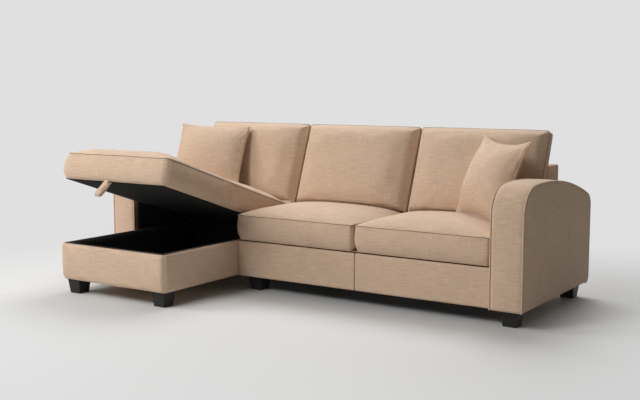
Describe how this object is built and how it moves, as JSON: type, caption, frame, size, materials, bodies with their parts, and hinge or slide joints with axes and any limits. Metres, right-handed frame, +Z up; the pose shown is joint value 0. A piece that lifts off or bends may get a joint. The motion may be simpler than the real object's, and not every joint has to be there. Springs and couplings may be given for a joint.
{
  "type": "chaise sofa",
  "caption": "Corner sofa with a storage chaise: upholstered seats, back cushions and rounded arms on block feet, with a lifting chaise seat over a lined storage box",
  "frame": {"origin": "on the floor, under the middle of the bounding box", "axes": "+X along the sofa to the right of someone who faces it, +Y from the front to the back, +Z up"},
  "size_m": [2.51, 1.484, 0.8655],
  "materials": {
    "beige_fabric": "matte",
    "black_cloth": "matte",
    "black_wood": "satin",
    "black_metal": "satin",
    "steel": "satin",
    "bumper_rubber": "matte",
    "timber": "matte"
  },
  "bodies": {
    "frame": {"arm_bolts": "steel", "back_cushion_centre": "beige_fabric", "back_cushion_left": "beige_fabric", "back_cushion_right": "beige_fabric", "back_webbing": "black_cloth", "box_corner_blocks": "timber", "box_cover": "beige_fabric", "box_floor": "timber", "box_front_wall": "timber", "box_left_wall": "timber", "box_lining": "black_cloth", "box_rear_wall": "timber", "box_right_wall": "timber", "chaise_back_cover": "beige_fabric", "chaise_back_frame": "timber", "chaise_feet": "black_wood", "dust_cover": "black_cloth", "foot_bolts": "steel", "hinge_box_screws": "steel", "hinge_fixed_leaves": "steel", "hinge_pins": "steel", "joining_plates": "steel", "left_arm_cover": "beige_fabric", "left_arm_frame": "timber", "lid_bumpers": "bumper_rubber", "rail_cover_left": "beige_fabric", "rail_cover_right": "beige_fabric", "rear_seat_pad": "beige_fabric", "rear_shelf": "timber", "right_arm_cover": "beige_fabric", "right_arm_frame": "timber", "seat_back_cover": "beige_fabric", "seat_back_frame": "timber", "seat_corner_blocks": "timber", "seat_cross_rails": "timber", "seat_cushion_centre": "beige_fabric", "seat_cushion_right": "beige_fabric", "seat_deck": "black_cloth", "seat_feet": "black_wood", "seat_front_rail": "timber", "seat_rear_rail": "timber", "seat_springs": "steel", "spring_clips": "steel", "strut_foot_brackets": "black_metal"},
    "lid": {"lid_board": "timber", "lid_batten": "timber", "lid_lining": "black_cloth", "lid_cushion": "beige_fabric", "pull_loop": "beige_fabric", "hinge_moving_leaves": "steel", "hinge_lid_screws": "steel", "strut_lid_brackets": "black_metal"},
    "strut_left_cylinder": {"strut_left_cylinder": "black_metal"},
    "strut_left_rod": {"strut_left_rod": "steel"},
    "strut_right_cylinder": {"strut_right_cylinder": "black_metal"},
    "strut_right_rod": {"strut_right_rod": "steel"},
    "pillow_left": {"pillow_left": "beige_fabric"},
    "pillow_right": {"pillow_right": "beige_fabric"}
  },
  "joints": [
    {"name": "lid_hinge", "type": "hinge", "parent": "frame", "child": "lid", "pos_m": [-0.73, 0.33402, 0.3], "axis": [-1, 0, 0], "range_deg": [-18.3, 0]},
    {"name": "strut_left_swing", "type": "hinge", "parent": "frame", "child": "strut_left_cylinder", "pos_m": [-1.045, 0.28202, 0.13], "axis": [1, 0, 0], "range_deg": [0, 15.68]},
    {"name": "strut_left_slide", "type": "slide", "parent": "strut_left_cylinder", "child": "strut_left_rod", "axis": [0, -0.7664, 0.6424], "range_m": [-0.05461, 0]},
    {"name": "strut_right_swing", "type": "hinge", "parent": "frame", "child": "strut_right_cylinder", "pos_m": [-0.415, 0.28202, 0.13], "axis": [1, 0, 0], "range_deg": [0, 15.68]},
    {"name": "strut_right_slide", "type": "slide", "parent": "strut_right_cylinder", "child": "strut_right_rod", "axis": [0, -0.7664, 0.6424], "range_m": [-0.05461, 0]},
    {"name": "pillow_left_lift", "type": "slide", "parent": "lid", "child": "pillow_left", "axis": [0, 0, 1], "range_m": [0, 0.42]},
    {"name": "pillow_right_lift", "type": "slide", "parent": "frame", "child": "pillow_right", "axis": [0, 0, 1], "range_m": [0, 0.45]}
  ],
  "couplings": [
    {"joint": "strut_left_swing", "follows": "lid_hinge", "ratio": -0.85625},
    {"joint": "strut_left_slide", "follows": "lid_hinge", "m_per_rad": 0.17093},
    {"joint": "strut_right_swing", "follows": "lid_hinge", "ratio": -0.85625},
    {"joint": "strut_right_slide", "follows": "lid_hinge", "m_per_rad": 0.17093}
  ]
}
